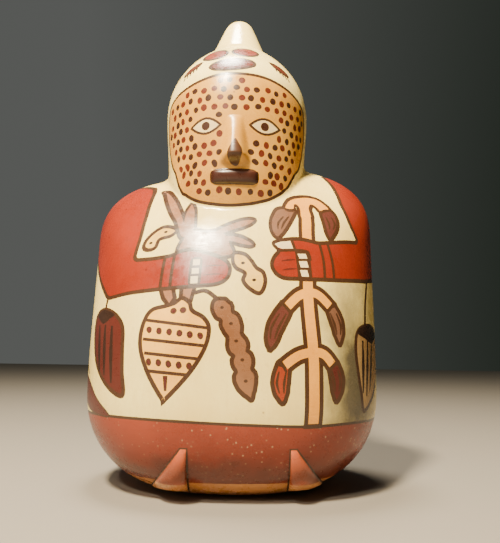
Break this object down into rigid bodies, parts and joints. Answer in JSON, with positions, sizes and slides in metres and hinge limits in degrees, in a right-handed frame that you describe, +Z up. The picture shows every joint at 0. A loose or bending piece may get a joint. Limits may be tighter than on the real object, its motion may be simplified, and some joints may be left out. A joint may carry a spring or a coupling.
{
  "type": "figure vessel with spout and bridge handle",
  "caption": "Hollow fired-clay vessel modelled as a hooded figure holding plants, painted in slips, with a pouring spout behind the head tied to the hood by a strap bridge.",
  "frame": {"origin": "middle of the flat resting spot under the vessel", "axes": "+Z up through the vessel, the figure's face looks along -Y, its left shoulder (the viewer's right) is on +X"},
  "size_m": [0.1826, 0.155, 0.315],
  "materials": {
    "vessel": "burnished slip, painted cream, red, brown, ochre and grey, slightly glossy"
  },
  "bodies": {
    "root": {"vessel": "vessel"}
  },
  "joints": []
}
